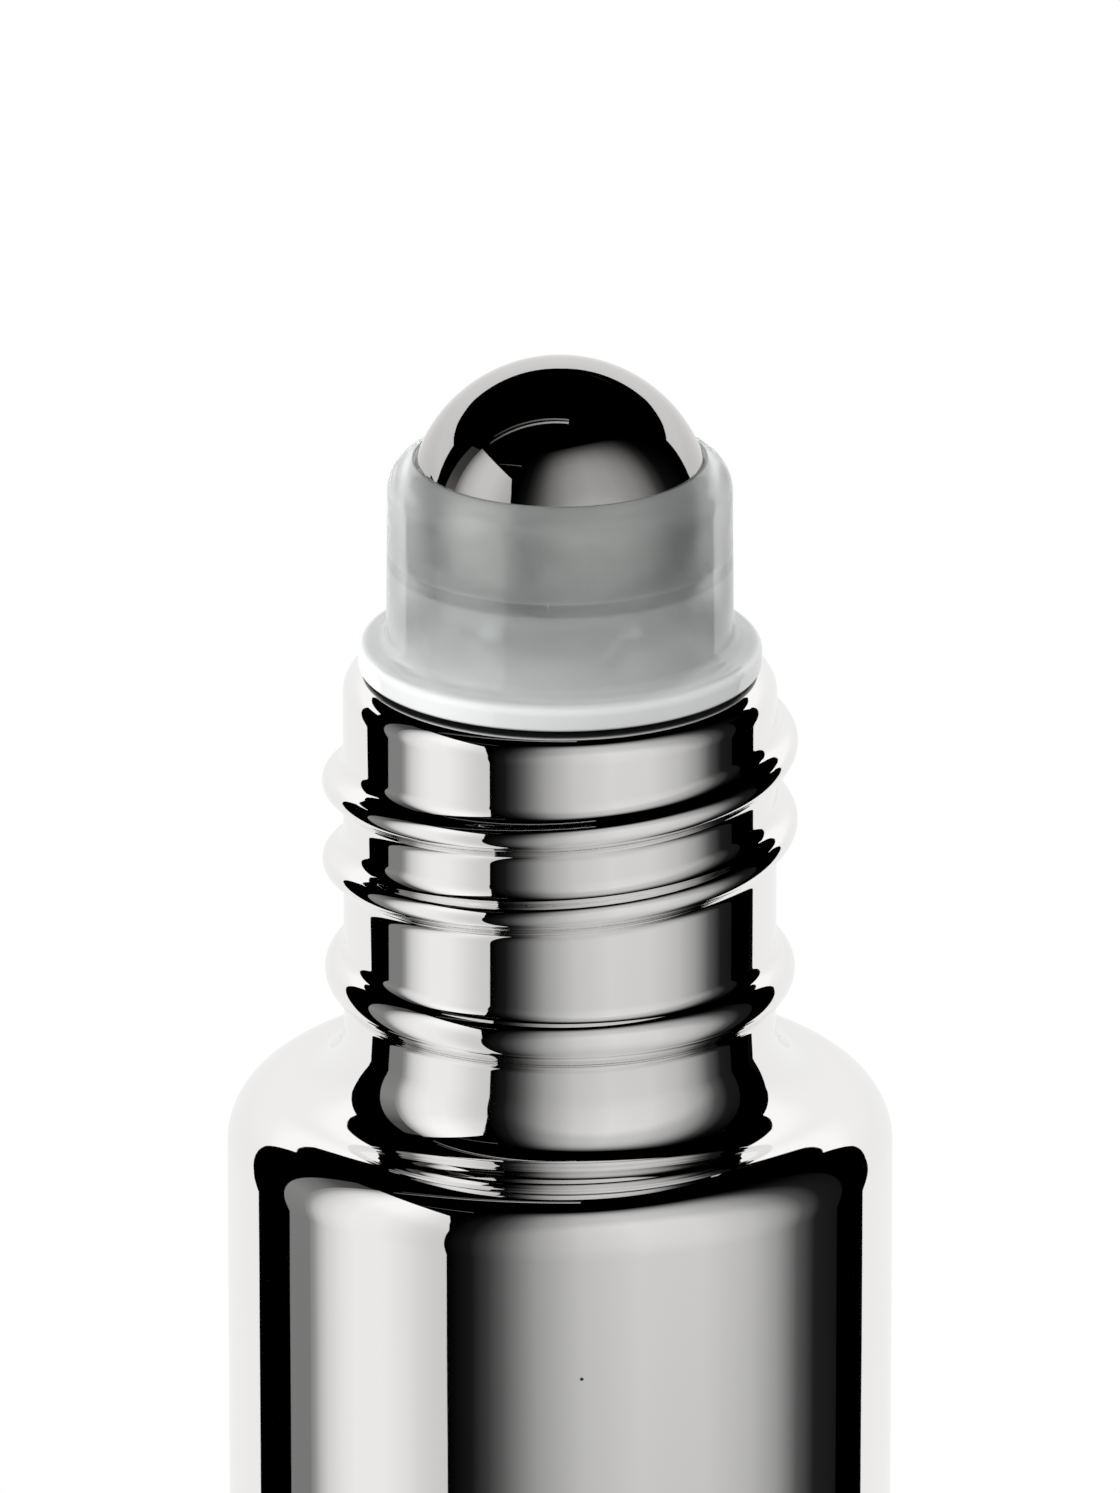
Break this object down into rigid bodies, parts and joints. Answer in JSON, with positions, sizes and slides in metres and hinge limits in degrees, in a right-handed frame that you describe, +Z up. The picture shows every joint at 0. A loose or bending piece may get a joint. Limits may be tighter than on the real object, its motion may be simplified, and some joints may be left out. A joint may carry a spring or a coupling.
{
  "type": "roll-on perfume oil bottle",
  "caption": "Roll-on perfume oil bottle without its cap: mirror-coated glass with a screw neck, a translucent moulded roller fitment with a flange, and a polished steel ball.",
  "frame": {"origin": "centre of the circle that the bottle's standing ring rests on", "axes": "+Z up along the bottle's axis, from base to ball; -Y faces the camera of the picture; +X to the viewer's right"},
  "size_m": [0.022, 0.022, 0.0777],
  "materials": {
    "glass_bottle": "polished",
    "roller_housing": "satin",
    "roller_ball": "polished",
    "perfume_oil": "gloss"
  },
  "bodies": {
    "bottle": {"glass_bottle": "glass_bottle", "roller_housing": "roller_housing", "perfume_oil": "perfume_oil"},
    "ball": {"roller_ball": "roller_ball"}
  },
  "joints": [
    {"name": "ball_roll", "type": "hinge", "parent": "bottle", "child": "ball", "pos_m": [0, 0, 0.07272], "axis": [1, 0, 0], "continuous": true}
  ]
}
